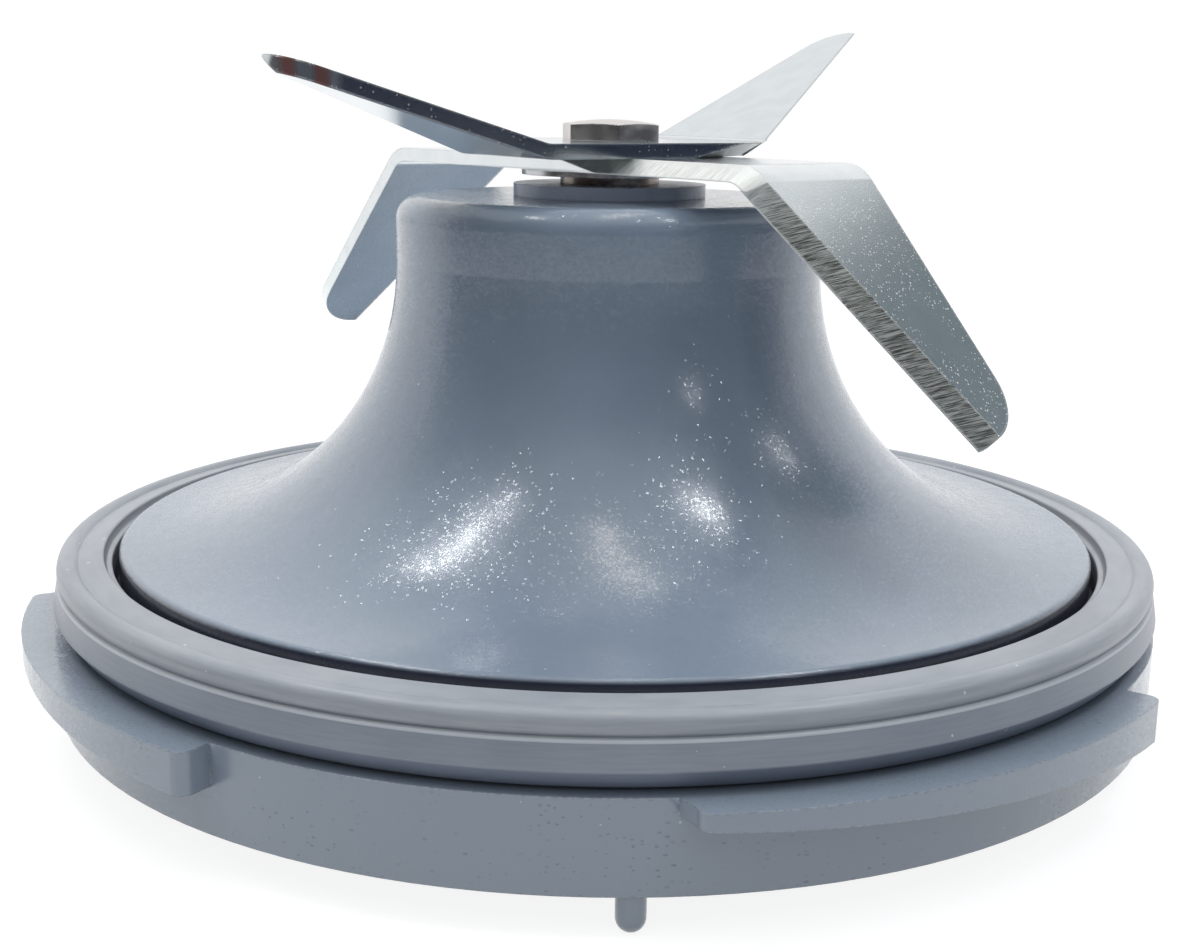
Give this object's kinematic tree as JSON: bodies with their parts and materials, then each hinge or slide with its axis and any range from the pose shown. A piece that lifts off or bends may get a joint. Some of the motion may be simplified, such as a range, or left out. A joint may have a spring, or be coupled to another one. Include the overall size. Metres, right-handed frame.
{
  "type": "blender knife unit",
  "caption": "Bell-shaped plastic base with bayonet lugs and a sealing ring, carrying a spinning shaft with a bent-down and a bent-up steel knife above and a drive coupling below.",
  "frame": {"origin": "on the shaft axis, at the level of the feet under the rim", "axes": "+Z along the shaft towards the knives; the unit stands on its feet with its front towards -Y"},
  "size_m": [0.1052, 0.1052, 0.0626],
  "materials": {
    "grey_plastic": "semi-gloss",
    "ring_rubber": "satin",
    "black_rubber": "matt",
    "bronze": "sintered",
    "shaft_steel": "turned",
    "knife_steel": "polished with fine grinding lines",
    "white_plastic": "matt",
    "spring_steel": "blackened",
    "black_plastic": "moulded"
  },
  "bodies": {
    "base": {"base_body": "grey_plastic", "sealing_ring": "ring_rubber", "shaft_seal": "black_rubber", "upper_bush": "bronze", "lower_bush": "bronze", "thrust_washer": "grey_plastic"},
    "rotor": {"drive_shaft": "shaft_steel", "backing_washer": "shaft_steel", "lower_knife": "knife_steel", "upper_knife": "knife_steel", "knife_screw": "shaft_steel", "slip_washer": "white_plastic", "shim_washer": "shaft_steel", "bearing_clip": "spring_steel", "drive_coupling": "black_plastic", "coupling_clip": "spring_steel"}
  },
  "joints": [
    {"name": "rotor_spin", "type": "hinge", "parent": "base", "child": "rotor", "pos_m": [0, 0, 0.03], "axis": [0, 0, 1], "continuous": true}
  ]
}
